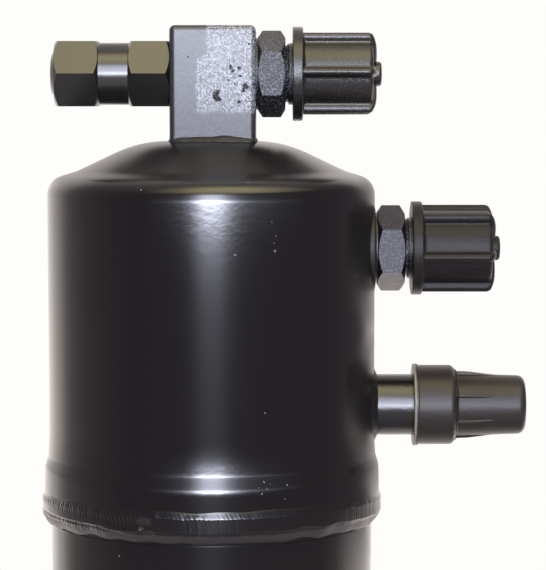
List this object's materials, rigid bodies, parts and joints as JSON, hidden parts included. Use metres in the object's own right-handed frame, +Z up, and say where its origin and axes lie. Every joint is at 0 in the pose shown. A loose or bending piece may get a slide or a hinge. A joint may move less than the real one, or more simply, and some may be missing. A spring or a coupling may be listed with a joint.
{
  "type": "receiver drier",
  "caption": "Upright steel refrigerant receiver drier with a head block, a relief valve, capped inlet and outlet fittings and a capped service port.",
  "frame": {"origin": "centre of the flat base, on the vessel's axis", "axes": "+Z up the vessel's axis, +X out of the inlet, outlet and service port"},
  "size_m": [0.1414, 0.0994, 0.2531],
  "materials": {
    "black_paint": "semi-gloss black paint on steel",
    "block_paint": "black paint over a rough face, with pits",
    "relief_finish": "thin black finish on a machined hexagon bar",
    "cap_plastic": "glossy black moulded plastic",
    "service_cap_plastic": "satin black moulded plastic",
    "black_rubber": "moulded",
    "core_brass": "turned",
    "plain_steel": "plain drawn steel",
    "spring_steel": "spring wire",
    "felt": "felt filter",
    "desiccant": "drying beads, as one solid"
  },
  "bodies": {
    "vessel": {"upper_shell": "black_paint", "lower_shell": "black_paint", "girth_weld": "black_paint", "head_block": "block_paint", "block_weld": "black_paint", "inlet_fitting": "black_paint", "inlet_o_ring": "black_rubber", "outlet_fitting": "black_paint", "outlet_o_ring": "black_rubber", "outlet_weld": "black_paint", "service_port": "black_paint", "service_port_weld": "black_paint", "valve_core_body": "core_brass", "valve_core_spring": "spring_steel", "relief_valve_body": "relief_finish", "relief_valve_plug": "relief_finish", "relief_valve_spring": "spring_steel", "pickup_tube": "plain_steel", "pickup_strainer": "plain_steel", "lower_plate": "plain_steel", "lower_pad": "felt", "desiccant_bed": "desiccant", "upper_pad": "felt", "upper_plate": "plain_steel", "retainer_spring": "spring_steel", "spring_stop": "plain_steel"},
    "inlet_seal": {"inlet_cap_seal": "black_rubber"},
    "inlet_cap": {"inlet_cap": "cap_plastic"},
    "outlet_seal": {"outlet_cap_seal": "black_rubber"},
    "outlet_cap": {"outlet_cap": "cap_plastic"},
    "service_seal": {"service_cap_seal": "black_rubber"},
    "service_cap": {"service_cap": "service_cap_plastic"},
    "relief_poppet": {"relief_valve_poppet": "core_brass", "relief_valve_seal": "black_rubber"},
    "valve_pin": {"valve_core_pin": "plain_steel"}
  },
  "joints": [
    {"name": "inlet_cap_travel", "type": "slide", "parent": "vessel", "child": "inlet_seal", "axis": [1, 0, 0], "range_m": [0, 0.00825]},
    {"name": "inlet_cap_turn", "type": "hinge", "parent": "inlet_seal", "child": "inlet_cap", "pos_m": [0.05, 0, 0.23938], "axis": [1, 0, 0], "range_deg": [0, 1980]},
    {"name": "outlet_cap_travel", "type": "slide", "parent": "vessel", "child": "outlet_seal", "axis": [1, 0, 0], "range_m": [0, 0.00825]},
    {"name": "outlet_cap_turn", "type": "hinge", "parent": "outlet_seal", "child": "outlet_cap", "pos_m": [0.05, 0, 0.1888], "axis": [1, 0, 0], "range_deg": [0, 1980]},
    {"name": "service_cap_travel", "type": "slide", "parent": "vessel", "child": "service_seal", "axis": [1, 0, 0], "range_m": [0, 0.00975]},
    {"name": "service_cap_turn", "type": "hinge", "parent": "service_seal", "child": "service_cap", "pos_m": [0.05, 0, 0.1428], "axis": [1, 0, 0], "range_deg": [0, 2340]},
    {"name": "relief_lift", "type": "slide", "parent": "vessel", "child": "relief_poppet", "axis": [-1, 0, 0], "range_m": [0, 0.0015], "stiffness_N_per_m": 3000, "springref_m": -0.002, "deforming": ["relief_valve_spring"]},
    {"name": "valve_pin_push", "type": "slide", "parent": "vessel", "child": "valve_pin", "axis": [-1, 0, 0], "range_m": [0, 0.0015], "stiffness_N_per_m": 1500, "springref_m": -0.002, "deforming": ["valve_core_spring"]}
  ],
  "couplings": [
    {"joint": "inlet_cap_turn", "follows": "inlet_cap_travel", "rad_per_m": 4188.8},
    {"joint": "outlet_cap_turn", "follows": "outlet_cap_travel", "rad_per_m": 4188.8},
    {"joint": "service_cap_turn", "follows": "service_cap_travel", "rad_per_m": 4188.8}
  ]
}
